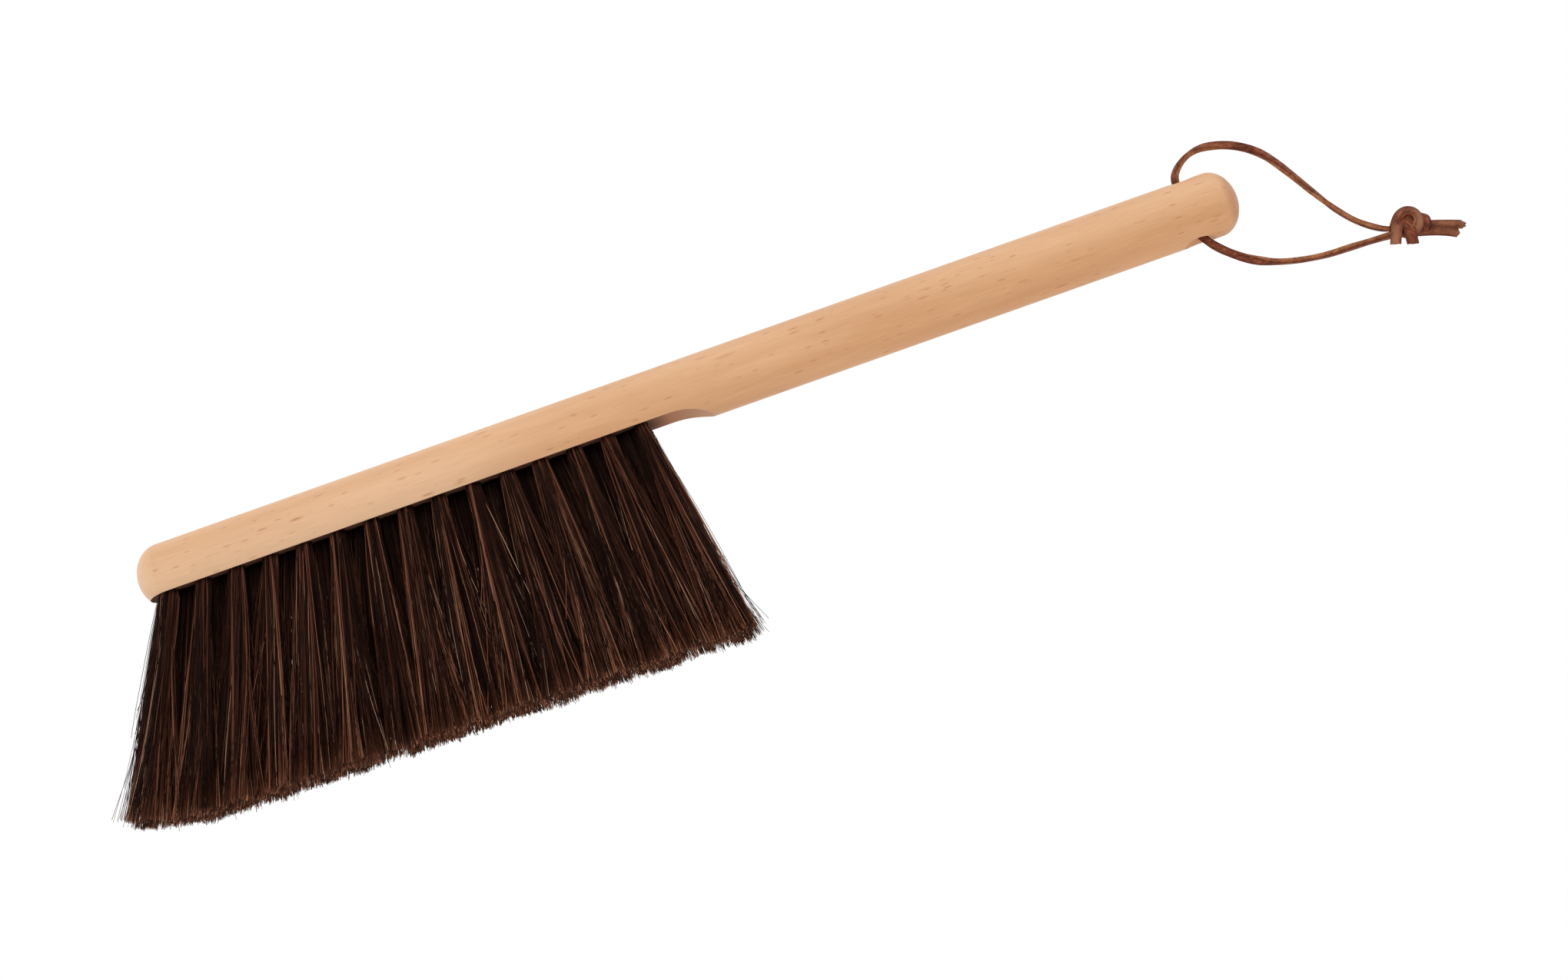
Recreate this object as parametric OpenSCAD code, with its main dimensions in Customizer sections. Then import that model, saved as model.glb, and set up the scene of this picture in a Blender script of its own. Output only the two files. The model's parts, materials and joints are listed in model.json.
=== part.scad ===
// Bee brush: a round beech handle with a milled flat, three staggered rows of staple-set horsehair
// tufts that fan out below it, and a leather hanging lace through the other end.
// The handle lies along X with the tufts pointing down. The origin is on the handle's axis, at the
// middle of the grip. Dimensions are in millimetres.

/* [Handle] */
// Overall length of the handle
handle_len = 440; // [430:5:480]
// Diameter of the handle
handle_d = 25; // [24:0.5:27]
// Length of the rounded nose at the brush end
nose_len = 11; // [8:0.5:12]
// Length of the rounded butt at the hanging end
butt_len = 9.8; // [8:0.2:12]
// Distance from the nose to the middle of the grip, where the origin is
grip_mid = 325; // [310:5:340]

/* [Brush flat] */
// Distance from the handle's axis down to the milled flat
flat_drop = 7.75; // [7.5:0.05:8.5]
// Distance from the nose to where the cutter starts to lift out of the flat
flat_len = 211; // [208:1:220]
// Radius of the cutter that milled the flat
cutter_r = 29; // [20:1:40]

/* [Tufts] */
// Number of tufts in the front and back rows; the staggered middle row has one fewer
row_count = 15; // [12:1:15]
// Distance from the nose to the first tuft
first_tuft = 11; // [9:0.5:13]
// Distance between two tufts of one row
tuft_pitch = 13.43; // [13:0.01:13.6]
// Distance between two rows
row_gap = 6; // [5.8:0.1:6.2]
// Diameter of a tuft hole
tuft_hole_d = 6; // [5:0.1:6.2]
// Depth of a tuft hole below the flat, along the tuft
tuft_hole_depth = 12; // [9:0.5:13]
// Length of the free hair below the flat
hair_len = 87.5; // [75:0.5:95]
// Diameter of a tuft at its cut end
tuft_tip_d = 11.5; // [8:0.5:11.5]
// Lean of the first tuft along the handle, in degrees; negative is out over the nose
lean_first = -22; // [-24:1:-10]
// Lean of the last tuft, in degrees
lean_last = 6.5; // [0:0.5:10]
// Outward lean of the front and back rows, in degrees
row_splay = 2.7; // [2.5:0.1:4]

/* [Staples] */
// Diameter of the staple wire
wire_d = 0.7; // [0.5:0.1:1]
// Width of a staple
staple_w = 3.6; // [2.6:0.1:4.4]
// How far the legs bite into the wood behind the hole
staple_bite = 2.5; // [1:0.1:3]

/* [Lace] */
// Distance from the butt to the lace hole
lace_hole_inset = 19; // [17:1:24]
// Diameter of the lace hole
lace_hole_d = 6; // [5.5:0.5:8]
// Diameter of the countersink at the handle's surface
countersink_d = 13; // [10:0.5:14]
// Side of the lace's square section
lace_w = 2.9; // [2:0.1:3.2]
// Width of the flat strip that ties the two strands together
tie_w = 4; // [3:0.1:4.2]
// Thickness of that strip
tie_t = 1.6; // [1:0.1:1.8]

/* [Hidden] */
ROWS = ["front", "middle", "back"];
function two_digits(n) = n < 10 ? str("0", n) : str(n);
function tufts_in(row) = row == 1 ? row_count - 1 : row_count;
function tuft_name(row, i) = str("tuft_", ROWS[row], "_", two_digits(i + 1));

$fn = 48;
slack = 0.1;                       // space left where free hair meets what stays in the handle
handle_r = handle_d / 2;
nose_x = -grip_mid;
butt_x = nose_x + handle_len;
lace_hole_x = butt_x - lace_hole_inset;
flat_z = -flat_drop;
tuft_r = tuft_hole_d / 2;
bend_drop = tuft_r + slack;        // from the flat down to the line about which free hair bends
hair_color = [0.13, 0.07, 0.05];
leather_color = [0.44, 0.25, 0.18];
steel_color = [0.72, 0.72, 0.74];
beech_color = [0.88, 0.72, 0.56];

// ---- Places of the tufts ----

function tuft_x(row, i) = nose_x + first_tuft + (i + (row == 1 ? 0.5 : 0)) * tuft_pitch;
function tuft_y(row) = (row - 1) * row_gap;
function tuft_splay(row) = (row - 1) * row_splay;
function tuft_lean(x) =
    let (share = (x - nose_x - first_tuft) / ((row_count - 1) * tuft_pitch))
    lean_first + share * (lean_last - lean_first);

// Puts its children in the frame of one tuft: the origin at the mouth of its hole, and Z along
// the hair towards the cut end.
module at_tuft(row, i) {
    x = tuft_x(row, i);
    translate([x, tuft_y(row), flat_z])
        rotate([tuft_splay(row), 0, 0])
            rotate([0, 180 - tuft_lean(x), 0])
                children();
}

// Keeps only what lies above the flat, inside the handle.
module above_flat() {
    intersection() {
        children();
        translate([nose_x, -handle_r, flat_z]) cube([handle_len, handle_d, handle_d]);
    }
}

// ---- Handle ----

module dowel() {
    straight = handle_len - nose_len - butt_len;
    translate([nose_x + nose_len, 0, 0]) {
        rotate([0, 90, 0]) cylinder(r = handle_r, h = straight);
        scale([nose_len / handle_r, 1, 1]) sphere(r = handle_r);
        translate([straight, 0, 0])
            scale([butt_len / handle_r, 1, 1]) sphere(r = handle_r);
    }
}

module flat_cut() {
    margin = 5;
    translate([nose_x - margin, -handle_r - margin, flat_z - cutter_r])
        cube([flat_len + margin, handle_d + 2 * margin, cutter_r]);
    translate([nose_x + flat_len, 0, flat_z - cutter_r])
        rotate([90, 0, 0]) cylinder(r = cutter_r, h = handle_d + 2 * margin, center = true, $fn = 96);
}

module tuft_hole() {
    translate([0, 0, -tuft_hole_depth]) cylinder(r = tuft_r, h = tuft_hole_depth + 2 * tuft_r);
}

module lace_hole() {
    reach = 1;                     // how far the cutters stand past the surface
    r = countersink_d / 2;
    cylinder(d = lace_hole_d, h = handle_d + 2 * reach, center = true);
    for (end = [0, 1])
        mirror([0, 0, end])
            translate([0, 0, handle_r - r]) cylinder(r1 = 0, r2 = r + reach, h = r + reach);
}

module handle() {
    color(beech_color)
        difference() {
            dowel();
            flat_cut();
            for (row = [0:2], i = [0:tufts_in(row) - 1]) at_tuft(row, i) tuft_hole();
            translate([lace_hole_x, 0, 0]) lace_hole();
        }
}

// ---- Tufts ----

// The free hair of one tuft. It starts in a ball on its row's bending line, just below the flat.
module tuft(row, i) {
    slant = cos(tuft_lean(tuft_x(row, i))) * cos(tuft_splay(row));
    start = bend_drop / slant;
    color(hair_color)
        at_tuft(row, i)
            translate([0, 0, start]) {
                sphere(r = tuft_r);
                cylinder(r1 = tuft_r, r2 = tuft_tip_d / 2, h = hair_len - start);
            }
}

// The folded hair that fills the holes of one row.
module tuft_roots(row) {
    color(hair_color)
        above_flat()
            for (i = [0:tufts_in(row) - 1])
                at_tuft(row, i)
                    translate([0, 0, -tuft_hole_depth]) cylinder(r = tuft_r, h = tuft_hole_depth + tuft_r);
}

// One wire staple. Its bar holds the fold of the hair and its legs bite into the wood.
module staple() {
    bar_z = -tuft_hole_depth + 1.5;
    leg = staple_bite + tuft_hole_depth + bar_z;
    translate([0, 0, bar_z]) {
        rotate([0, 90, 0]) cylinder(d = wire_d, h = staple_w, center = true, $fn = 16);
        for (side = [-1, 1])
            translate([side * staple_w / 2, 0, 0]) {
                sphere(d = wire_d, $fn = 16);
                translate([0, 0, -leg]) cylinder(d = wire_d, h = leg, $fn = 16);
            }
    }
}

module staples(row) {
    color(steel_color)
        for (i = [0:tufts_in(row) - 1]) at_tuft(row, i) staple();
}

// ---- Laces ----

function unit(v) = v / norm(v);
function reversed(list) = [for (k = [len(list) - 1:-1:0]) list[k]];

// A smooth curve through the points p, with the given number of steps between neighbours.
function curve_point(a, b, c, d, t) =
    0.5 * (2 * b + (c - a) * t + (2 * a - 5 * b + 4 * c - d) * t * t
           + (3 * b - a - 3 * c + d) * t * t * t);
function curve(p, steps) =
    let (last = len(p) - 1)
    concat(
        [for (k = [0:last - 1]) for (s = [0:steps - 1])
            curve_point(p[max(k - 1, 0)], p[k], p[k + 1], p[min(k + 2, last)], s / steps)],
        [p[last]]
    );

// A rectangle with its corners taken off.
function strip_section(w, t) =
    let (c = 0.2 * min(w, t), x = w / 2, y = t / 2)
    [[x, c - y], [x, y - c], [x - c, y], [c - x, y], [-x, y - c], [-x, c - y], [c - x, -y], [x - c, -y]];

// Sweeps the section along the path. The section's first axis stays as close as it can to width_dir.
module sweep(path, section, width_dir) {
    n = len(path);
    m = len(section);
    rings = [
        for (k = [0:n - 1])
            let (
                along = unit(path[min(k + 1, n - 1)] - path[max(k - 1, 0)]),
                thick = unit(cross(along, width_dir)),
                wide = cross(thick, along)
            )
            for (q = section) path[k] + q[0] * wide + q[1] * thick
    ];
    sides = [
        for (k = [0:n - 2]) for (j = [0:m - 1])
            let (a = k * m + j, b = k * m + (j + 1) % m)
            each [[a, a + m, b + m], [a, b + m, b]]
    ];
    first_end = [for (j = [0:m - 1]) j];
    last_end = [for (j = [m - 1:-1:0]) (n - 1) * m + j];
    polyhedron(points = rings, faces = concat([first_end], sides, [last_end]));
}

// The hanging loop, in the plane of the tufts: from one cut end through the knot, over the
// handle, down through its hole, back under it and through the knot to the other cut end.
// Each point is the distance from the hole towards the hanging end, then the height.
over_points = [
    [100, -39.5], [92, -36.2], [86, -34.3], [78, -32.6], [71, -31.4], [66, -29.2], [59, -24], [53, -17],
    [47, -8.5], [41, 2], [35, 10.5], [29, 16.2], [21.5, 20.3], [13, 22.4], [6.5, 21], [1.5, 17], [-0.3, 12.5]
];
under_points = [
    [0.2, -7], [2.2, -11], [5.4, -15], [10, -19.5], [16, -24], [24, -27.6], [33, -30.4], [43, -32.2],
    [53, -33.3], [62, -34.2], [71, -35.2], [78, -36.4], [86, -38.2], [92, -40], [96.5, -43]
];

module hanging_lace() {
    points = [for (p = concat(over_points, [[0, 5], [0, -1]], under_points)) [p[0], 0, p[1]]];
    color(leather_color)
        translate([lace_hole_x, 0, 0])
            sweep(curve(points, 3), strip_section(lace_w, lace_w), [0, 1, 0]);
}

// The strip that ties the strands. Each point is along the strands, up across them, and out
// to the near side, from the middle of the knot.
tie_points = [
    [-4.8, -9.8, 5.0], [-4.4, -5, 5.5], [-3.9, 0, 5.7], [-3.4, 4.6, 4.6], [-2.9, 7, 0.6], [-2.5, 4.2, -4.4],
    [-2.3, -1, -5.5], [-2.1, -5.6, -3.4], [-1.7, -6.9, 0.2], [-1.2, -5, 2.6], [-0.6, -1, 3.7], [0, 2.6, 3.3],
    [0.6, 4.9, 0.6], [1.2, 3, -2.9], [1.8, -1, -3.6], [2.4, -4.2, -2.2], [3, -5.2, 1], [3.6, -7, 4],
    [4.2, -10.4, 5.2]
];

module tie_lace() {
    knot = [78.5, 0, -34.7];
    knot_slope = 15;               // how steeply the strands run down through the knot
    points = [for (p = tie_points) [p[0], -p[2], p[1]]];
    color(leather_color)
        translate([lace_hole_x, 0, 0] + knot)
            rotate([0, knot_slope, 0])
                sweep(curve(points, 4), strip_section(tie_w, tie_t), [1, 0, 0]);
}

handle();
for (row = [0:2]) {
    for (i = [0:tufts_in(row) - 1])
        tuft(row, i);
    tuft_roots(row);
    staples(row);
}
hanging_lace();
tie_lace();
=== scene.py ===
import json
import math

import bpy
import numpy as np
from mathutils import Matrix, Vector


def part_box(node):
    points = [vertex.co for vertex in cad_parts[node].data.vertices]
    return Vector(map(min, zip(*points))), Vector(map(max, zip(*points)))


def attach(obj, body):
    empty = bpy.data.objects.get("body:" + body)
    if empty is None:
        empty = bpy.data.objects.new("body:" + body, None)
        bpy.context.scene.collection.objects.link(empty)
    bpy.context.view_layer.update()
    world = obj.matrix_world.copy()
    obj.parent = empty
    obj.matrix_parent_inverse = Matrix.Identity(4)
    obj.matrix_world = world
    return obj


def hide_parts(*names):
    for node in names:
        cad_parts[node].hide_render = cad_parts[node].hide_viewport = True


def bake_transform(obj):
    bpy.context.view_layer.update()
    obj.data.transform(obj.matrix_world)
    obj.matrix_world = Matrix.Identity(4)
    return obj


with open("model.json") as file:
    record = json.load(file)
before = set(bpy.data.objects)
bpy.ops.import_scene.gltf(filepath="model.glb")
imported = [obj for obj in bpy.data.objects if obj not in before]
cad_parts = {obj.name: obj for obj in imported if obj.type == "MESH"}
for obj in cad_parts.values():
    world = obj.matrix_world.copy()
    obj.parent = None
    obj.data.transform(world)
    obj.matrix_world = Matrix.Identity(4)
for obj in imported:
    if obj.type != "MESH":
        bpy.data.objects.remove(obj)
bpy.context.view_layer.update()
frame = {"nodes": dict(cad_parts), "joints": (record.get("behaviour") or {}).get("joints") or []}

# Bee brush: beech handle, fanned horsehair tufts and a leather lace. Everything is in metres,
# in the row frame: +X along the handle towards the lace, +Z up, hair pointing down.

MM = 0.001
NODES = frame["nodes"]
ROWS = ("front", "middle", "back")
JOINT_AT = {joint["name"]: Vector(joint["pos_m"]) for joint in frame["joints"]}
LACE_HOLE = JOINT_AT["lace_swing"]
HANDLE_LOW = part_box("handle")[0]
HANDLE_R = -HANDLE_LOW.y
FLAT_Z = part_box("tuft_roots_middle")[0].z        # the milled flat that the hair stands in
HAIR_END_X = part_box("tuft_roots_front")[1].x     # where the rows of holes end, at the grip


def row_tufts(row):
    """The names of one row's tufts, from the nose towards the grip."""
    return sorted(name for name in NODES if name.startswith(f"tuft_{row}_"))


# ---------------------------------------------------------------- shader building

class Shader:
    """A material's node tree, with short calls for the nodes that the finishes below are made of."""

    def __init__(self, name):
        self.material = bpy.data.materials.new(name)
        self.material.use_nodes = True
        self.tree = self.material.node_tree
        self.surface = self.tree.nodes["Principled BSDF"]

    def add(self, kind, inputs=None, **settings):
        node = self.tree.nodes.new(kind)
        for key, value in settings.items():
            setattr(node, key, value)
        for key, value in (inputs or {}).items():
            self.put(node.inputs[key], value)
        return node

    def put(self, socket, value):
        if isinstance(value, bpy.types.NodeSocket):
            self.tree.links.new(value, socket)
        else:
            socket.default_value = value

    def position(self, scale):
        """Places in the row frame, multiplied by scale."""
        here = self.add("ShaderNodeTexCoord").outputs["Object"]
        return self.add("ShaderNodeMapping", {"Vector": here, "Scale": scale}).outputs["Vector"]

    def separate(self, vector):
        """A vector's parts, under the names X, Y and Z."""
        return self.add("ShaderNodeSeparateXYZ", {"Vector": vector}).outputs

    def noise(self, scale, detail=2.0, roughness=0.5):
        """Noise with this many cells to the metre along X, Y and Z."""
        inputs = {"Vector": self.position(scale), "Scale": 1.0, "Detail": detail, "Roughness": roughness}
        return self.add("ShaderNodeTexNoise", inputs).outputs["Fac"]

    def ramp(self, factor, stops):
        """A colour ramp. stops are pairs of position and linear colour."""
        node = self.add("ShaderNodeValToRGB", {"Fac": factor})
        elements = node.color_ramp.elements
        while len(elements) < len(stops):
            elements.new(0.5)
        for element, (place, colour) in zip(elements, stops):
            element.position = place
            element.color = (*colour, 1.0)
        return node.outputs["Color"]

    def math(self, operation, a, b):
        return self.add("ShaderNodeMath", {0: a, 1: b}, operation=operation).outputs["Value"]

    def product(self, first, *others):
        for other in others:
            first = self.math("MULTIPLY", first, other)
        return first

    def rescale(self, value, low, high, new_low=0.0, new_high=1.0):
        inputs = {"Value": value, "From Min": low, "From Max": high, "To Min": new_low, "To Max": new_high}
        return self.add("ShaderNodeMapRange", inputs).outputs["Result"]

    def mix(self, factor, a, b, blend="MIX"):
        node = self.add("ShaderNodeMix", data_type="RGBA", blend_type=blend)
        for socket, value in ((node.inputs[0], factor), (node.inputs[6], a), (node.inputs[7], b)):
            if isinstance(value, tuple):
                value = (*value, 1.0)
            self.put(socket, value)
        return node.outputs[2]

    def grey(self, value):
        inputs = {"Red": value, "Green": value, "Blue": value}
        return self.add("ShaderNodeCombineColor", inputs).outputs["Color"]

    def attribute(self, name):
        return self.add("ShaderNodeAttribute", attribute_name=name).outputs["Fac"]

    def bump(self, height, distance, strength=1.0):
        inputs = {"Height": height, "Distance": distance, "Strength": strength}
        self.put(self.surface.inputs["Normal"], self.add("ShaderNodeBump", inputs).outputs["Normal"])

    def finish(self, colour, roughness, shine=0.5, metallic=0.0):
        self.put(self.surface.inputs["Base Color"], colour)
        self.put(self.surface.inputs["Roughness"], roughness)
        self.put(self.surface.inputs["Specular IOR Level"], shine)
        self.put(self.surface.inputs["Metallic"], metallic)
        return self.material


# ---------------------------------------------------------------- materials, in linear colours

WOOD_STREAKS = ((0.30, (0.62, 0.330, 0.158)), (0.5, (0.685, 0.385, 0.198)), (0.70, (0.74, 0.445, 0.248)))
# Painted light: a paler colour for the lower half of the head, standing in for light the hair takes away
PAINTED_LIGHT_ON_HEAD = (0.79, 0.54, 0.345)
# Painted light: a paler colour for the nose end, which faces the light
PAINTED_LIGHT_NOSE = (0.82, 0.56, 0.37)
RAY_FLECK = (0.44, 0.150, 0.048)
# Darker, redder butt end: partly end grain, partly painted shade where the end faces away from the light
END_GRAIN_AND_SHADE = (0.42, 0.18, 0.085)
# Darker brown for the downward-facing run-out of the flat: partly the milled wood's own tone, partly painted
# shade
MILLED_WOOD_AND_SHADE = (0.33, 0.105, 0.042)
# Painted shade for the flat between the tufts, where the hair keeps the light off
SHADE_AMONG_HAIR = (0.06, 0.022, 0.010)
# Ray flecks lie in cells, one to a cell. For each size: the cell's length and width in mm, how much
# of its cell the biggest fleck fills, how strong it is, and a shift that sets the cells apart.
FLECK_SIZES = ((7.0, 1.5, 0.36, 0.62, 0.0), (12.5, 2.4, 0.29, 0.66, 3.7), (40.0, 8.0, 0.16, 0.60, 7.1))
FLECKLESS_CELLS = 0.30           # this share of the cells stay empty

HAIR_TONES = (
    (0.0, (0.0065, 0.0021, 0.0016)), (0.30, (0.017, 0.0060, 0.0043)), (0.50, (0.034, 0.0105, 0.0062)),
    (0.62, (0.052, 0.0180, 0.0120)), (0.74, (0.112, 0.034, 0.0170)), (0.84, (0.155, 0.058, 0.035)),
    (0.92, (0.30, 0.118, 0.066)), (0.95, (0.52, 0.28, 0.18)), (1.0, (0.52, 0.37, 0.28)),
)
ROOT_TONE = 0.62                 # all hair tends a little to this tone near its root
BLEACHED_BY = (0.066, 0.024, 0.010)
SHADED_ROOT = (0.004, 0.0015, 0.001)
HAIR_SHEEN = (0.75, 0.54, 0.45, 1)
PACKED_HAIR = ((0.3, (0.004, 0.002, 0.0015)), (0.7, (0.03, 0.013, 0.008)))
STEEL = ((0.3, (0.42, 0.42, 0.43)), (0.7, (0.62, 0.62, 0.64)))

LEATHER_FACE = ((0.40, (0.075, 0.0165, 0.0070)), (0.5, (0.190, 0.048, 0.020)), (0.60, (0.33, 0.112, 0.050)))
LEATHER_SIDE = ((0.41, (0.17, 0.052, 0.019)), (0.5, (0.37, 0.133, 0.054)), (0.59, (0.52, 0.23, 0.105)))
RUBBED_LEATHER = (0.36, 0.160, 0.086)
BURNISHED_LEATHER = (0.060, 0.0125, 0.006)


def ray_flecks(s):
    """How strongly a ray fleck shows at each place, from 0 to 1."""
    fleck = 0.0
    for long, wide, biggest, strength, shift in FLECK_SIZES:
        cell = (1 / (long * MM), 1 / (wide * MM), 1 / (wide * MM))
        inputs = {0: s.position(cell), 1: (shift, shift, shift)}
        here = s.add("ShaderNodeVectorMath", inputs, operation="ADD").outputs["Vector"]
        cells = s.add("ShaderNodeTexVoronoi", {"Vector": here, "Scale": 1.0}).outputs
        chance = s.add("ShaderNodeSeparateColor", {"Color": cells["Color"]}).outputs["Red"]
        reach = s.rescale(chance, FLECKLESS_CELLS, 1.0, 0.0, biggest)
        inside = s.math("SUBTRACT", reach, cells["Distance"])
        fleck = s.math("MAXIMUM", fleck, s.rescale(inside, 0.0, biggest / 2, 0.0, strength))
    return fleck


def milled_run_out_and_shade(s, facing, place):
    """How much darker brown the wood is where the flat runs out into the round handle and faces down: partly
    the milled wood's own tone, partly painted shade. It fades from the hair on.
    """
    beside_axis = s.position((0, 1, 1))
    from_axis = s.add("ShaderNodeVectorMath", {0: beside_axis}, operation="LENGTH").outputs["Value"]
    cut_into = s.math("LESS_THAN", from_axis, HANDLE_R - 0.15 * MM)
    faces_down = s.math("LESS_THAN", facing["Z"], -0.8)
    fade = s.rescale(place["X"], HAIR_END_X, HAIR_END_X + 34 * MM, 0.95, 0.0)
    return s.product(cut_into, faces_down, fade)


def shade_on_flat(s, facing, place):
    """How dark the flat is: painted shade between the tufts, fading out just after the last one."""
    on_flat = s.math("LESS_THAN", place["Z"], FLAT_Z + 0.1 * MM)
    faces_down = s.math("LESS_THAN", facing["Z"], -0.99)
    fade = s.rescale(place["X"], HAIR_END_X, HAIR_END_X + 8 * MM, 0.85, 0.0)
    return s.product(on_flat, faces_down, fade)


def beech_material():
    """Oiled beech: pale warm wood with soft streaks along the handle and short darker ray flecks."""
    s = Shader("beech")
    facing = s.separate(s.add("ShaderNodeNewGeometry").outputs["Normal"])
    place = s.separate(s.position((1, 1, 1)))

    bands = s.noise((9, 95, 95), 3)
    wood = s.ramp(bands, WOOD_STREAKS)
    # Painted light: the lower half of the head is made paler, most towards the nose
    on_head = s.rescale(place["X"], HAIR_END_X - 25 * MM, HAIR_END_X - 80 * MM, 0.0, 0.75)
    lower_half = s.rescale(facing["Z"], 0.6, -0.4, 0.15, 1.0)
    wood = s.mix(s.product(on_head, lower_half), wood, PAINTED_LIGHT_ON_HEAD)
    fibre = s.rescale(s.noise((90, 1300, 1300), 4, 0.65), 0.3, 0.7, 0.94, 1.04)
    wood = s.mix(1.0, wood, s.grey(fibre), "MULTIPLY")

    fleck = ray_flecks(s)
    crowded = s.rescale(s.noise((14, 70, 70), 1), 0.38, 0.60, 0.45, 1.0)
    milled_and_shade = milled_run_out_and_shade(s, facing, place)
    colour = s.mix(s.product(fleck, crowded), wood, RAY_FLECK)
    # Partly end grain, partly painted shade: the butt end, facing +X, gets darker and redder
    colour = s.mix(s.rescale(facing["X"], 0.50, 0.80, 0.0, 0.6), colour, END_GRAIN_AND_SHADE)
    # Painted light: the nose end, facing -X, is made paler
    colour = s.mix(s.rescale(facing["X"], -0.2, -0.8, 0.0, 0.5), colour, PAINTED_LIGHT_NOSE)
    # Partly the milled wood's tone, partly painted shade on the run-out where it faces down, most by the
    # hair
    colour = s.mix(milled_and_shade, colour, MILLED_WOOD_AND_SHADE)
    # Painted shade on the flat between the tufts
    colour = s.mix(shade_on_flat(s, facing, place), colour, SHADE_AMONG_HAIR)

    grain = s.math("SUBTRACT", s.noise((70, 2200, 2200), 3), s.product(fleck, 0.5))
    s.bump(grain, 0.04 * MM, 0.6)
    roughness = s.math("ADD", s.rescale(bands, 0.3, 0.7, 0.40, 0.50), s.product(milled_and_shade, 0.45))
    return s.finish(colour, roughness, shine=0.45)


def hair_material():
    """Horsehair: mostly near-black brown, with redder, tan and a few grey hairs, paler at the cut."""
    s = Shader("horsehair")
    tone = s.attribute("tone")
    along = s.attribute("along")

    evened = s.rescale(along, 0.0, 0.45, 0.2, 0.0)
    own_tone = s.product(tone, s.math("SUBTRACT", 1.0, evened))
    hair = s.ramp(s.math("ADD", own_tone, s.product(evened, ROOT_TONE)), HAIR_TONES)
    faded = s.grey(s.rescale(along, 0.35, 0.85, 1.04, 1.22))
    hair = s.mix(1.0, hair, faded, "MULTIPLY")

    cut = s.product(s.rescale(along, 0.88, 1.0), s.rescale(tone, 0.0, 0.6, 0.05, 1.0))
    hair = s.mix(cut, hair, s.mix(1.0, hair, BLEACHED_BY, "ADD"))
    near_root = s.rescale(along, 0.05, 0.48, 0.92, 0.0)
    hair = s.mix(s.product(near_root, s.attribute("inner")), hair, SHADED_ROOT)
    s.put(s.surface.inputs["Specular Tint"], HAIR_SHEEN)
    return s.finish(hair, 0.48, shine=0.18)


def root_material():
    """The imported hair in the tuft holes, seen only as a dark disc between the free hairs."""
    s = Shader("packed_hair")
    packed = s.ramp(s.noise((3500, 3500, 300), 2), PACKED_HAIR)
    s.bump(s.noise((3500, 3500, 300), 1), 0.1 * MM)
    return s.finish(packed, 0.6)


def wire_material():
    """Bright drawn steel wire."""
    s = Shader("staple_wire")
    drawn = s.noise((4000, 400, 400), 2)
    return s.finish(s.ramp(drawn, STEEL), s.rescale(drawn, 0.3, 0.7, 0.22, 0.38), metallic=1.0)


def leather_material():
    """Brown lace leather: a dark smooth face, paler cut sides and dark burnished corners."""
    s = Shader("lace_leather")
    run = s.attribute("run")
    fibre_place = s.add("ShaderNodeCombineXYZ", {
        "X": s.product(run, 0.45),
        "Y": s.math("ADD", s.product(s.attribute("around"), 22.0), run),
    }).outputs["Vector"]
    fibre = s.add("ShaderNodeTexNoise", {"Vector": fibre_place, "Scale": 1.0, "Detail": 3.0}).outputs["Fac"]
    blotch = s.product(s.math("ADD", s.noise((190, 190, 190), 4, 0.6), fibre), 0.5)

    colour = s.mix(s.attribute("cut_side"), s.ramp(blotch, LEATHER_FACE), s.ramp(blotch, LEATHER_SIDE))
    colour = s.mix(s.attribute("rubbed"), colour, RUBBED_LEATHER)
    burnish = s.rescale(s.noise((450, 450, 450), 3), 0.35, 0.65, 0.35, 0.85)
    colour = s.mix(s.product(s.attribute("corner"), burnish), colour, BURNISHED_LEATHER)

    pores = s.add("ShaderNodeTexVoronoi", {"Vector": s.position((2000, 2000, 2000)), "Scale": 1.0})
    s.bump(s.math("ADD", s.product(pores.outputs["Distance"], 0.5), fibre), 0.22 * MM, 0.8)
    return s.finish(colour, 0.66, shine=0.18)


def floor_material():
    """Pale to the camera. What it throws back on the object is less than its looks."""
    s = Shader("floor")
    seen = s.add("ShaderNodeLightPath").outputs["Is Camera Ray"]
    return s.finish(s.mix(seen, (0.86, 0.78, 0.72), (0.91, 0.91, 0.91)), 0.9, shine=0.1)


# ---------------------------------------------------------------- mesh building

def new_object(name, mesh, material):
    obj = bpy.data.objects.new(name, mesh)
    bpy.context.scene.collection.objects.link(obj)
    mesh.materials.append(material)
    return obj


def tube_mesh(name, rings, attributes):
    """A mesh of closed tubes. rings is an array of tube, ring, corner and XYZ; attributes holds
    a value for each tube, ring and corner under each name."""
    tubes, count, sides = rings.shape[:3]
    index = np.arange(tubes * count * sides).reshape(tubes, count, sides)
    ahead = np.roll(index, -1, axis=2)
    walls = np.stack([index[:, :-1], ahead[:, :-1], ahead[:, 1:], index[:, 1:]], axis=-1).reshape(-1, 4)
    caps = np.concatenate([index[:, 0, ::-1], index[:, -1]]).reshape(-1, sides)
    corners = np.concatenate([walls.ravel(), caps.ravel()])
    sizes = np.concatenate([np.full(len(walls), 4), np.full(len(caps), sides)])
    mesh = bpy.data.meshes.new(name)
    mesh.vertices.add(index.size)
    mesh.vertices.foreach_set("co", rings.reshape(-1).astype(np.float32))
    mesh.loops.add(len(corners))
    mesh.loops.foreach_set("vertex_index", corners.astype(np.int32))
    mesh.polygons.add(len(sizes))
    mesh.polygons.foreach_set("loop_start", (np.cumsum(sizes) - sizes).astype(np.int32))
    mesh.polygons.foreach_set("use_smooth", sizes == 4)
    mesh.update(calc_edges=True)
    mesh.validate()
    for key, values in attributes.items():
        values = np.broadcast_to(values, rings.shape[:3]).reshape(-1)
        mesh.attributes.new(key, "FLOAT", "POINT").data.foreach_set("value", values.astype(np.float32))
    return mesh


def unit(v):
    return v / np.linalg.norm(v, axis=-1, keepdims=True)


# ---------------------------------------------------------------- hair

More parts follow.
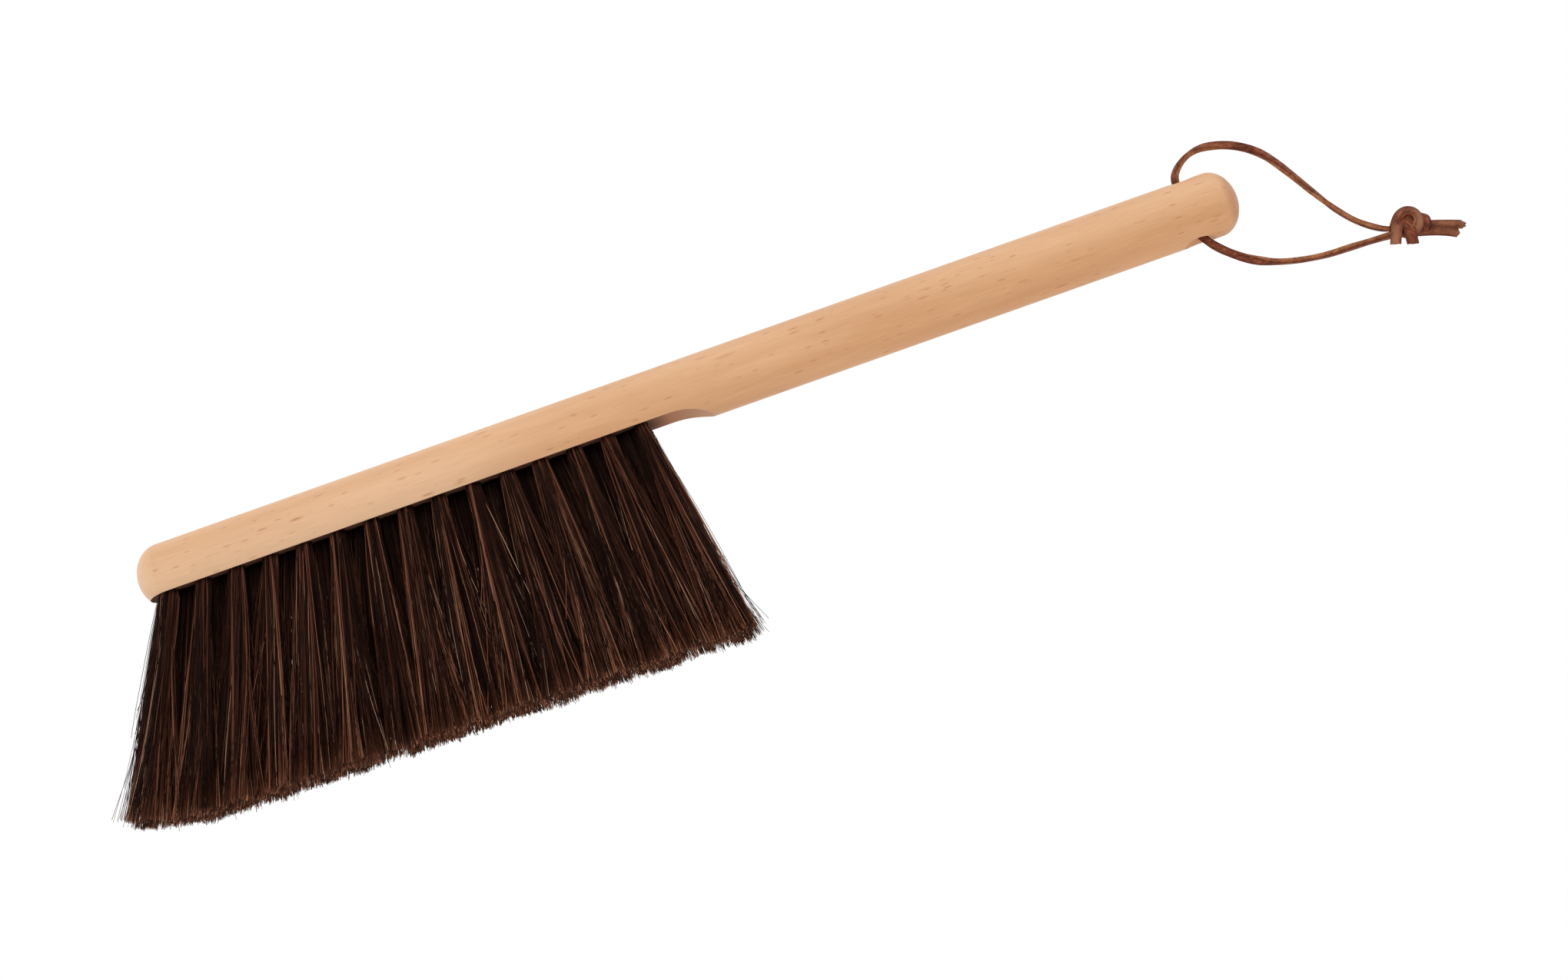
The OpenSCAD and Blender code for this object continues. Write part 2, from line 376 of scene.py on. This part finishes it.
STRANDS_PER_TUFT = 108           # a strand is a few hairs that lie together
HAIRS_PER_STRAND = 5
BUNDLES_PER_TUFT = 9             # groups of strands that lean the same way
HAIR_SIDES = 3
HAIR_WIDTH = 0.23 * MM
WIDTH_RANGE = (0.75, 1.25)       # a hair's own width, as a share of that
TIP_TAPER = 0.22                 # how much of its width a hair has lost at its tip
ALONG = np.array([0, 0.035, 0.09, 0.18, 0.30, 0.45, 0.62, 0.81, 1.0])   # where a hair's rings are
HAIR_START = -0.8 * MM           # hair starts this far inside its hole
ROOT_R = 2.8 * MM                # how far from the hole's axis hair stands at the flat

# Where a strand's tip is goes by its root, its bundle and chance, all as shares of TIP_SPREAD.
TIP_SPREAD = np.array([6.0, 3.9]) * MM           # scatter of a tuft's tips, along and across the handle
TIP_BY_ROOT = 0.65
TIP_BY_BUNDLE = 0.45
BUNDLE_LEAN = 0.58
STRAND_LEAN = 0.44
TIP_ONSET = 1.3                  # more than 1 makes hair keep its course at first and lean later
EDGE_REACH = {"nose": 11.5 * MM, "grip": 7.0 * MM}    # how far the end tufts' tips get outwards
OUTWARD = {"nose": -1, "grip": 1}

# How much wider than at its hole a tuft gets as the hair springs apart, within SPRING_SHARE of its length.
SWELL = {"front": 0.12, "middle": 1.0, "back": 0.35}
END_SWELL = {"nose": (0.5, 1.4), "grip": (-0.1, 2.05)}   # of end tufts, in the outer rows and the middle one
INWARD_SWELL = 0.5               # an end tuft swells at least this much towards the next tuft
SPRING_SHARE = 0.025

STRAND_SPREAD = np.array([0.12, 0.27]) * MM      # how far hairs stand off their strand, at root and tip
STRAND_BOW = 1.0 * MM            # how far a strand bows out halfway, and a hair from its strand
HAIR_BOW = 0.35 * MM
HAIR_WAVE = 0.30 * MM            # the size of a hair's wave, and its angle from root to tip
WAVE_ANGLE = 7.0
STRAY_SHARE = 0.08               # how many hairs curl away from the rest
END_STRAY_SHARE = 0.22           # and how many do in the first and last tuft of a row
STRAY_REACH = np.array([3.4, 1.5]) * MM
STRAY_ONSET = 2.5                # stray hairs curl away mostly near their tips

# Tones run from 0, the darkest, to 1. Only the rare pale hairs are past DULL_TONE.
STRAND_TONES = (0.05, 0.85)      # the darkest strand and the range above it
TONE_SKEW = 1.4                  # more than 1 makes more strands dark than pale
BUNDLE_TONE = 0.05               # how much tones differ from bundle to bundle and from hair to hair
HAIR_TONE = 0.155
DULL_TONE = 0.93
PALE_TONES = (0.94, 1.0)
PALE_SHARE = 0.028

TRIM_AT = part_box("tuft_middle_12")[0]            # a hair end in the level stretch of the trim
TRIM_LIFT = 0.5 * MM             # hair ends stand this much short of it
TRIM_SLOPE = 0.012               # how much deeper the trim gets for each length towards the grip
TRIM_BEND = 3.7                  # how fast the trim rises past the nose, in 1/m
TRIM_BEND_FROM = HANDLE_LOW.x + 12 * MM
UNEVEN_STRANDS = 0.42 * MM       # how far strands and single hairs end off the trim
UNEVEN_HAIRS = 0.30 * MM
SHORT_SHARE = 0.09               # how many hairs are cut short, and to what share of their length
SHORT_LENGTHS = (0.5, 0.97)


def tuft_axis(node):
    """The mouth of the tuft's hole and the unit direction of its hair, read from its CAD cone."""
    co = np.array([v.co for v in NODES[node].data.vertices])
    centre = co.mean(axis=0)
    axis = np.linalg.svd(co - centre, full_matrices=False)[2][0]
    axis = axis * -np.sign(axis[2])
    mouth = centre + axis * (FLAT_Z - centre[2]) / axis[2]
    return mouth, axis


def trim_height(x):
    """The height of the trimmed hair ends at x: nearly level, then rising in a curve past the nose."""
    past = np.maximum(TRIM_BEND_FROM - x, 0)
    return TRIM_AT.z + TRIM_LIFT - TRIM_SLOPE * (x - TRIM_AT.x) + TRIM_BEND * past ** 2


def disc(rng, count):
    """Random places in a unit disc."""
    angle = rng.uniform(0, 2 * math.pi, count)
    radius = np.sqrt(rng.uniform(0, 1, count))
    return radius[:, None] * np.stack([np.cos(angle), np.sin(angle)], axis=1)


def tuft_strands(rng, edge):
    """Root and tip places of a tuft's strands, off its axis, with each strand's tone."""
    root = disc(rng, STRANDS_PER_TUFT)
    bundle = disc(rng, BUNDLES_PER_TUFT)
    member = np.argmin(((root[:, None] - bundle[None]) ** 2).sum(axis=2), axis=1)
    lean = rng.normal(0, BUNDLE_LEAN, (BUNDLES_PER_TUFT, 2))
    tip = TIP_BY_ROOT * root + TIP_BY_BUNDLE * bundle[member] + lean[member]
    tip = (tip + rng.normal(0, STRAND_LEAN, root.shape)) * TIP_SPREAD
    darkest, tone_range = STRAND_TONES
    tone = darkest + tone_range * rng.uniform(0, 1, STRANDS_PER_TUFT) ** TONE_SKEW
    tone += rng.normal(0, BUNDLE_TONE, BUNDLES_PER_TUFT)[member]
    if edge:
        outer = tip[:, 0] * OUTWARD[edge] > 0
        tip[outer, 0] = np.tanh(tip[outer, 0] / EDGE_REACH[edge]) * EDGE_REACH[edge]
    return root * ROOT_R, tip, tone


def hair_offsets(rng, root, tip, edge, swell):
    """How far hairs are off their tuft's axis at each of their rings, along and across the handle."""
    n = len(root)
    curls = rng.uniform(0, 1, (n, 1)) < (END_STRAY_SHARE if edge else STRAY_SHARE)
    stray = rng.normal(0, 1, (n, 2)) * STRAY_REACH * curls
    bow = np.repeat(rng.normal(0, STRAND_BOW, (STRANDS_PER_TUFT, 2)), HAIRS_PER_STRAND, axis=0)
    bow += rng.normal(0, HAIR_BOW, (n, 2))
    wave = rng.normal(0, HAIR_WAVE, (n, 2))
    turn = rng.uniform(0, 2 * math.pi, (n, 1, 1))

    inward = root[:, :1] * OUTWARD.get(edge, 0) < 0
    swell = np.where(inward, max(swell, INWARD_SWELL), swell)[:, None]
    share = ALONG[None, :, None]
    spring = 1 + swell * (1 - np.exp(-share / SPRING_SHARE))
    offset = root[:, None] * spring * (1 - share) + tip[:, None] * share ** TIP_ONSET
    offset = offset + stray[:, None] * share ** STRAY_ONSET
    offset = offset + bow[:, None] * np.sin(math.pi * share)
    return offset + wave[:, None] * np.sin(WAVE_ANGLE * share + turn) * share


def hair_lengths(rng, mouth, axes, tip):
    """How long hairs are from the mouth of their hole: to the trim, a little uneven, some cut short."""
    axis, along, across = axes
    n = len(tip)
    full = (TRIM_AT.z - mouth[2]) / axis[2]
    for _ in range(4):           # the trim's height goes by where the hair ends, so this closes in on it
        end_x = mouth[0] + axis[0] * full + along[0] * tip[:, 0]
        full = (trim_height(end_x) - mouth[2] - along[2] * tip[:, 0] - across[2] * tip[:, 1]) / axis[2]
    uneven = np.repeat(rng.normal(0, UNEVEN_STRANDS, STRANDS_PER_TUFT), HAIRS_PER_STRAND)
    length = full + uneven + rng.normal(0, UNEVEN_HAIRS, n)
    short = rng.uniform(0, 1, n) < SHORT_SHARE
    return np.where(short, full * rng.uniform(*SHORT_LENGTHS, n), length)


def hair_tubes(rng, line, across):
    """Rings round the hairs' lines, each hair of its own width and turned its own way."""
    n = len(line)
    heading = unit(np.gradient(line, axis=1))
    side = unit(np.cross(heading, across))
    other = np.cross(heading, side)
    width = HAIR_WIDTH * rng.uniform(*WIDTH_RANGE, (n, 1)) * (1 - TIP_TAPER * ALONG[None])
    corner = rng.uniform(0, 2 * math.pi, (n, 1)) + np.arange(HAIR_SIDES)[None] * 2 * math.pi / HAIR_SIDES
    ring = (np.cos(corner)[:, None, :, None] * side[:, :, None]
            + np.sin(corner)[:, None, :, None] * other[:, :, None])
    return line[:, :, None] + ring * (width / 2)[:, :, None, None]


def hair_rings(node, rng, edge, swell):
    """One tuft's hairs as tubes, with each hair's tone. edge says which end of the row the tuft
    is at, if any, and swell how much the hair springs apart as it leaves its hole."""
    mouth, axis = tuft_axis(node)
    along = unit(np.array([1.0, 0, 0]) - axis[0] * axis)
    across = np.cross(axis, along)
    root, tip, tone = (np.repeat(v, HAIRS_PER_STRAND, axis=0) for v in tuft_strands(rng, edge))
    root += rng.normal(0, STRAND_SPREAD[0] * (1 + 2 * swell), root.shape)
    tip += rng.normal(0, STRAND_SPREAD[1], tip.shape)
    offset = hair_offsets(rng, root, tip, edge, swell)
    length = hair_lengths(rng, mouth, (axis, along, across), tip)
    depth = HAIR_START + ALONG[None] * (length[:, None] - HAIR_START)
    line = mouth + depth[..., None] * axis + offset[..., :1] * along + offset[..., 1:] * across
    rings = hair_tubes(rng, line, across)
    n = len(tone)
    tone = np.clip(tone + rng.normal(0, HAIR_TONE, n), 0, DULL_TONE)
    tone = np.where(rng.uniform(0, 1, n) < PALE_SHARE, rng.uniform(*PALE_TONES, n), tone)
    return rings, tone[:, None, None]


def make_hair():
    material = hair_material()
    for r, row in enumerate(ROWS):
        names = row_tufts(row)
        is_middle = row == "middle"
        for i, node in enumerate(names):
            edge = {0: "nose", len(names) - 1: "grip"}.get(i)
            swell = END_SWELL[edge][is_middle] if edge else SWELL[row]
            rings, tone = hair_rings(node, np.random.default_rng([r, i]), edge, swell)
            attributes = {"tone": tone, "along": ALONG[None, :, None], "inner": float(is_middle)}
            mesh = tube_mesh(f"hair_{row}_{i + 1:02d}", rings, attributes)
            hair = new_object(mesh.name, mesh, material)
            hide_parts(node)
            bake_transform(hair)


# ---------------------------------------------------------------- laces

LACE_SIZE = (3.3 * MM, 2.0 * MM)   # width and thickness of the hanging lace
TIE_SIZE = (4.5 * MM, 1.6 * MM)    # and of the strip that ties the knot
SECTION_POINTS = 24
SECTION_POWER = 5                # a superellipse: 2 is round, and higher is nearer to a rectangle
CORNER_FROM, CORNER_FADE = 1.06, 0.18      # where a corner starts and how fast it gets dark
FLESH_CORNER = 0.7               # how much less dark corners are on the flesh face
PATH_STEP = 0.6 * MM
CURVE_STEPS = 12                 # fine points to each stretch of a path
UNEVEN_EVERY = 5 * MM            # a strip's size changes over this length
UNEVEN_SIZE = 0.035              # by about this share
RAGGED_CUT = 0.12 * MM

# The loop's path in its own plane: distance from the lace hole towards the hanging end and height,
# in mm, then how many degrees the lace's wide face has twisted from the near side to the outside
# of the loop. It runs from one cut end over the handle, through the hole and back under it.
LOOP_PATH = (
    (96.2, -39.7, 20), (89.3, -37.1, 20), (83.5, -35.1, 25), (76.7, -33.4, 45), (70, -31.9, 70),
    (65, -29.9, 90), (58, -24.5, 90), (52, -17.2, 90), (46.5, -8.4, 60), (40.5, 1.9, 50), (34.8, 10.6, 35),
    (28.9, 16.2, 5), (21.6, 20.2, 0), (13.1, 22.2, 45), (6.3, 21, 70), (1, 17.2, 60), (-0.9, 12.7, 55),
    (0, 5, 70), (0, -1, 50), (0.2, -7, 35), (2, -11.2, 15), (5, -15.5, 0), (9.6, -20.1, 15),
    (15.6, -24.7, 35), (23.5, -28.6, 80), (32.5, -31.2, 90), (42.7, -32.8, 85), (52.7, -33.2, 80),
    (61.4, -33.6, 85), (68.3, -34, 75), (74, -35, 50), (82.2, -37.4, 20), (88.3, -39.8, 20), (92.8, -42, 20),
)

# The knot's own axes: to the right along the strands, up across them, and out to the near side.
KNOT = LACE_HOLE + Vector((76.4, 0, -32.4)) * MM
KNOT_SLOPE = math.radians(19.5)
KNOT_AXES = (
    Vector((math.cos(KNOT_SLOPE), 0, -math.sin(KNOT_SLOPE))),
    Vector((math.sin(KNOT_SLOPE), 0, math.cos(KNOT_SLOPE))),
    Vector((0, -1, 0)),
)
# The tie's path on those axes, in mm from the middle of the knot, each place with the direction
# that the strip's flat face looks in.
TIE_PATH = (
    # the left end hangs down in front, and its strip goes up and back over the strands
    ((-5.7, -8.7, 4.6), (0, -0.1, 1)), ((-5.5, -5.5, 5.1), (-0.1, 0, 1)), ((-5.0, -2.4, 5.2), (-0.1, 0, 1)),
    ((-4.0, 0.9, 5.0), (0, 0.2, 1)), ((-3.0, 3.2, 3.8), (0, 0.8, 0.8)), ((-2.4, 3.3, 0.5), (0, 1, 0)),
    # down the back, under the strands and up the front again, right of the middle
    ((-1.4, 2, -2.6), (0, 0.5, -1)), ((0.6, -1, -3.6), (0, -0.2, -1)), ((2.9, -3.3, -2.2), (0.2, -1, -0.5)),
    ((4.9, -3.0, 0.8), (0.4, -0.9, 0.5)), ((5.8, -0.8, 3), (0.6, -0.1, 1)), ((5.4, 1.8, 2.9), (0.6, 0.6, 1)),
    # over the top and down the back to the lower left
    ((3.9, 3.4, 0.4), (0.2, 1, 0)), ((0.6, 2.2, -4.2), (0, 0.5, -1)), ((-3.2, -1.6, -4.4), (-0.2, -0.2, -1)),
    ((-5.6, -3.8, -2), (-0.6, -0.8, -0.6)), ((-6.2, -3.2, 1.4), (-0.9, -0.5, 0.5)),
    # the arch: up the left side, over in front of everything and down the right
    ((-5.7, -0.9, 3.9), (-0.8, 0, 0.8)), ((-4.6, 1.9, 5.4), (-0.65, 0.45, 0.8)),
    ((-2.2, 3.7, 6), (-0.15, 0.75, 0.8)), ((0.8, 3.5, 6.1), (0.4, 0.65, 0.8)),
    ((2.8, 1.3, 5.8), (0.7, 0.15, 0.8)), ((2.8, -1.2, 4.9), (0.6, -0.4, 0.8)),
    ((1.6, -3.2, 3.2), (0.2, -1, 0.6)), ((0, -4.5, 0), (0, -1, -0.1)),
    # up the back, over the strands under the arch, and down in front as the right end
    ((-0.8, -3, -3.8), (0, -0.5, -1)), ((-1.2, 0.8, -4.4), (0, 0.2, -1)), ((-1.4, 3.6, -1.2), (0, 1, -0.3)),
    ((-1.1, 3.3, 3.9), (0, 0.6, 0.8)), ((-0.9, 1.0, 4.8), (0, 0.2, 1)), ((-0.5, -2.6, 5.1), (0.1, 0, 1)),
    ((0.1, -5.8, 5.1), (0.1, 0, 1)), ((0.8, -8.6, 4.8), (0.1, -0.1, 1)),
)
# How slanted and how pointed each strip's first and last ends are cut.
LOOP_CUTS = ((0.2, 1.4), (0.06, 0.66))
TIE_CUTS = ((0.1, 0.0), (0.15, 0.0))
# How pale each strip's two cut sides are.
LOOP_SIDES = (0.7, 0.3)
TIE_SIDES = (0.0, 0.0)
# Where each strip's face is rubbed paler: share of its length, spread and how much.
LOOP_RUBBED = ((0.0, 0.06, 0.35), (1.0, 0.06, 0.35))
TIE_RUBBED = ((0.02, 0.05, 0.7), (0.67, 0.03, 0.9))


def smooth_path(points, step):
    """A Catmull-Rom curve through the points, resampled so that its points are step apart,
    and how far along it each of them is. Only the first three columns count as places."""
    p = np.array(points, float)
    p = np.concatenate([[2 * p[0] - p[1]], p, [2 * p[-1] - p[-2]]])
    t = np.linspace(0, 1, CURVE_STEPS, endpoint=False)[:, None]
    pieces = [
        0.5 * (2 * b + (c - a) * t + (2 * a - 5 * b + 4 * c - d) * t ** 2 + (3 * b - a - 3 * c + d) * t ** 3)
        for a, b, c, d in zip(p, p[1:], p[2:], p[3:])
    ]
    fine = np.concatenate([*pieces, p[-2:-1]])
    run = np.concatenate([[0], np.cumsum(np.linalg.norm(np.diff(fine[:, :3], axis=0), axis=1))])
    even = np.linspace(0, run[-1], max(int(run[-1] / step), 4))
    return np.stack([np.interp(even, run, column) for column in fine.T], axis=1), even


def strip_section(width, thickness, pale_sides):
    """Points round a rectangle with rounded corners, with how pale a cut side each is on and how
    dark a corner. The sides get paler and the corners less dark towards the flesh face."""
    angle = np.arange(SECTION_POINTS) * 2 * math.pi / SECTION_POINTS
    c, s = np.cos(angle), np.sin(angle)
    r = (np.abs(c) ** SECTION_POWER + np.abs(s) ** SECTION_POWER) ** (-1 / SECTION_POWER)
    points = np.stack([r * c * width / 2, r * s * thickness / 2], axis=1)
    on_side = np.abs(c) > np.abs(s)
    to_flesh = 0.5 - 0.5 * np.clip(s / np.maximum(np.abs(c), 0.01), -1, 1)
    cut_side = np.where(on_side, np.where(c > 0, *pale_sides) * 2 * to_flesh, 0.0)
    corner = np.clip((r - CORNER_FROM) / CORNER_FADE, 0, 1) * (1 - FLESH_CORNER * to_flesh)
    return points, cut_side, corner


def cut_ends(rings, run, heading, section, cuts, rng):
    """Pull back the ends of a swept strip to slanted or pointed, slightly ragged cuts."""
    across = section[:, :1]
    for end, inward in ((0, 1), (-1, -1)):
        slant, point = cuts[end]
        cut = np.abs(across) * point - across * slant + rng.normal(0, RAGGED_CUT, across.shape)
        from_end = np.abs(run - run[end])[:, None, None]
        back = np.where(from_end > 0, np.maximum(cut - from_end, 0), cut)
        rings += heading[end] * inward * back


def make_strip(name, places, faces, size, sides, cuts, rubbed, rng, material):
    """A strip of leather swept along the places, its smooth face looking along faces."""
    curve, run = smooth_path([(*place, *face) for place, face in zip(places, faces)], PATH_STEP)
    line, face = curve[:, :3], curve[:, 3:]
    heading = unit(np.gradient(line, axis=0))
    wide = unit(np.cross(face, heading))
    thick = np.cross(heading, wide)
    section, cut_side, corner = strip_section(*size, sides)
    stations = np.linspace(0, run[-1], max(int(run[-1] / UNEVEN_EVERY), 4))
    uneven = 1 + np.interp(run, stations, rng.normal(0, UNEVEN_SIZE, len(stations)))
    rings = line[:, None] + uneven[:, None, None] * (
        section[None, :, :1] * wide[:, None] + section[None, :, 1:] * thick[:, None])
    cut_ends(rings, run, heading, section, cuts, rng)

    share = run / run[-1]
    pale = sum(much * np.exp(-((share - place) / spread) ** 2) for place, spread, much in rubbed)
    attributes = {
        "rubbed": pale[None, :, None],
        "run": run[None, :, None] / MM,
        "cut_side": cut_side[None, None],
        "corner": corner[None, None],
        "around": np.arange(SECTION_POINTS)[None, None] / SECTION_POINTS,
    }
    strip = new_object(name, tube_mesh(name, rings[None], attributes), material)
    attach(strip, "lace")
    return strip


def from_knot(vector):
    """A vector on the knot's axes, in the row frame."""
    return sum((axis * value for axis, value in zip(KNOT_AXES, vector)), Vector())


def make_laces():
    material = leather_material()
    rng = np.random.default_rng(7)
    across, height, twist = np.array(LOOP_PATH, float).T
    places = np.stack([across, 0 * across, height], axis=1) * MM + np.array(LACE_HOLE)
    outside = np.cross((0, 1, 0), unit(np.gradient(places, axis=0)))
    twist = np.radians(twist)[:, None]
    faces = outside * np.sin(twist) + np.array((0, -1, 0)) * np.cos(twist)
    loop = make_strip("hanging_lace_leather", places, faces, LACE_SIZE, LOOP_SIDES, LOOP_CUTS,
                      LOOP_RUBBED, rng, material)
    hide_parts("hanging_lace")

    places = [KNOT + from_knot([value * MM for value in place]) for place, _ in TIE_PATH]
    faces = [from_knot(face) for _, face in TIE_PATH]
    tie = make_strip("tie_lace_leather", places, faces, TIE_SIZE, TIE_SIDES, TIE_CUTS,
                     TIE_RUBBED, rng, material)
    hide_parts("tie_lace")


# ---------------------------------------------------------------- what stays from the CAD

def dress(node, material):
    mesh = NODES[node].data
    mesh.materials.clear()
    mesh.materials.append(material)


def dress_cad_nodes():
    dress("handle", beech_material())
    packed_hair, wire = root_material(), wire_material()
    for row in ROWS:
        dress(f"tuft_roots_{row}", packed_hair)
        dress(f"staples_{row}", wire)


# ---------------------------------------------------------------- stage, light and camera

CAMERA_TILT = math.radians(-11)          # seen from a little below the handle
CAMERA_ROLL = math.radians(19.5)         # the handle climbs to the right by this much
CAMERA_AT = Vector((-83.3, 0, -48.4)) * MM
FRAME_WIDTH = 589.7 * MM                 # how much of the scene the picture's width holds at CAMERA_AT
LENS, SENSOR = 120.0, 36.0
FLOOR_Z = -0.62
FLOOR_REACH = 6.0
KEY_UP, KEY_RIGHT, KEY_BACK = 0.75, -0.40, 0.60    # where the key light is, on the camera's axes
KEY_DISTANCE = 1.3
KEY_SIZE = 0.6
KEY_WATTS = 1.3
WORLD_RANGE = (1.0, 1.06)                # the world's brightness, away from the key light and towards it


def make_floor():
    mesh = bpy.data.meshes.new("floor")
    corners = [(x * FLOOR_REACH, y * FLOOR_REACH, FLOOR_Z) for x, y in ((-1, -1), (1, -1), (1, 1), (-1, 1))]
    mesh.from_pydata(corners, [], [(0, 1, 2, 3)])
    new_object("floor", mesh, floor_material())


def make_camera():
    """The camera, and its axes in the row frame: right, up and back."""
    back = Vector((0, -math.cos(CAMERA_TILT), math.sin(CAMERA_TILT)))
    level_up = Vector((0, math.sin(CAMERA_TILT), math.cos(CAMERA_TILT)))
    level_right = Vector((1, 0, 0))
    right = math.cos(CAMERA_ROLL) * level_right - math.sin(CAMERA_ROLL) * level_up
    up = math.sin(CAMERA_ROLL) * level_right + math.cos(CAMERA_ROLL) * level_up
    data = bpy.data.cameras.new("camera")
    data.lens, data.sensor_width = LENS, SENSOR
    camera = bpy.data.objects.new("camera", data)
    bpy.context.scene.collection.objects.link(camera)
    turn = Matrix((right, up, back)).transposed()
    camera.matrix_world = Matrix.LocRotScale(CAMERA_AT + back * (FRAME_WIDTH * LENS / SENSOR), turn, None)
    bpy.context.scene.camera = camera
    return right, up, back


def make_key_light(towards):
    data = bpy.data.lights.new("key", "AREA")
    data.shape, data.size, data.energy = "DISK", KEY_SIZE, KEY_WATTS
    light = bpy.data.objects.new("key", data)
    bpy.context.scene.collection.objects.link(light)
    light.location = CAMERA_AT + towards.normalized() * KEY_DISTANCE
    light.rotation_mode = "QUATERNION"
    light.rotation_quaternion = towards.to_track_quat("Z", "Y")


def make_world(brightest):
    """White behind the object. It lights the object like a big soft box, most from brightest."""
    world = bpy.data.worlds.new("studio")
    bpy.context.scene.world = world
    world.use_nodes = True
    tree = world.node_tree
    add, link = tree.nodes.new, tree.links.new
    aim = add("ShaderNodeVectorMath")
    aim.operation = "DOT_PRODUCT"
    link(add("ShaderNodeTexCoord").outputs["Generated"], aim.inputs[0])
    aim.inputs[1].default_value = brightest.normalized()
    soft = add("ShaderNodeMapRange")
    soft.inputs["From Min"].default_value = -1
    soft.inputs["From Max"].default_value = 1
    soft.inputs["To Min"].default_value, soft.inputs["To Max"].default_value = WORLD_RANGE
    link(aim.outputs["Value"], soft.inputs["Value"])
    white = add("ShaderNodeMix")
    link(add("ShaderNodeLightPath").outputs["Is Camera Ray"], white.inputs["Factor"])
    link(soft.outputs["Result"], white.inputs["A"])
    white.inputs["B"].default_value = 1.0
    link(white.outputs["Result"], tree.nodes["Background"].inputs["Strength"])
    tree.nodes["Background"].inputs["Color"].default_value = (1, 1, 1, 1)


def make_studio():
    make_floor()
    right, up, back = make_camera()
    key_side = KEY_UP * up + KEY_RIGHT * right + KEY_BACK * back
    make_key_light(key_side)
    make_world(key_side)
    bpy.context.scene.view_settings.view_transform = "Standard"


# ---------------------------------------------------------------- the whole scene

dress_cad_nodes()
make_hair()
make_laces()
make_studio()
